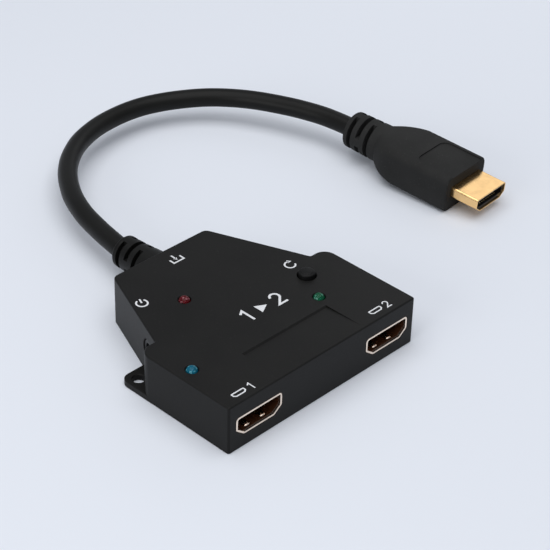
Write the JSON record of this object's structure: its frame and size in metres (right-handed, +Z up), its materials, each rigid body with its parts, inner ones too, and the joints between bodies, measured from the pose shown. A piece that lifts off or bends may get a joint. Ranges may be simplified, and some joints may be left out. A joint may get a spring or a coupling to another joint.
{
  "type": "hdmi splitter",
  "caption": "Flat black video splitter: wide port block tapering to a captive input lead with plug, output sockets, indicator lamps, reset button, power inlet and screw ears.",
  "frame": {"origin": "middle of the housing's underside, on the surface that it lies on", "axes": "+Z up through the lid, +X along the port face from output 1 to output 2, +Y from the port face to the lead"},
  "size_m": [0.1351, 0.1309, 0.015],
  "materials": {
    "housing": "fine matt spark-eroded black",
    "jacket": "satin black flexible moulding",
    "key": "satin black",
    "moulding": "black moulding",
    "gilt": "gold-plated sheet",
    "contact_gold": "gold plate",
    "steel": "plain steel",
    "tin": "bright tin plate",
    "can": "bare can",
    "board": "green solder mask",
    "ferrite": "dark ferrite",
    "wire": "thin sleeves",
    "lamp_red": "clear tinted dome, unlit",
    "lamp_blue": "clear tinted dome, unlit",
    "lamp_green": "clear tinted dome, unlit"
  },
  "bodies": {
    "splitter": {"top_housing": "housing", "bottom_cover": "housing", "cover_screws": "steel", "main_board": "board", "out1_shell": "gilt", "out1_insulator": "moulding", "out1_contacts": "contact_gold", "out2_shell": "gilt", "out2_insulator": "moulding", "out2_contacts": "contact_gold", "power_lamp": "lamp_red", "out1_lamp": "lamp_blue", "out2_lamp": "lamp_green", "lamp_leads": "tin", "reset_switch": "moulding", "reset_dome": "steel", "inlet_body": "moulding", "inlet_pin": "tin", "inlet_spring": "tin", "splitter_chip": "moulding", "chip_leads_set": "tin", "memory_chip": "moulding", "regulator": "moulding", "power_coil": "ferrite", "crystal": "tin", "capacitors": "can", "strain_relief": "jacket", "cable": "jacket", "cable_wires": "wire", "plug_grip": "jacket", "plug_shell": "gilt", "plug_insulator": "moulding", "plug_contacts": "contact_gold"},
    "reset_key": {"reset_button": "key", "reset_plunger": "moulding"}
  },
  "joints": [
    {"name": "reset_press", "type": "slide", "parent": "splitter", "child": "reset_key", "axis": [0, 0, -1], "range_m": [0, 0.0003], "stiffness_N_per_m": 600}
  ]
}
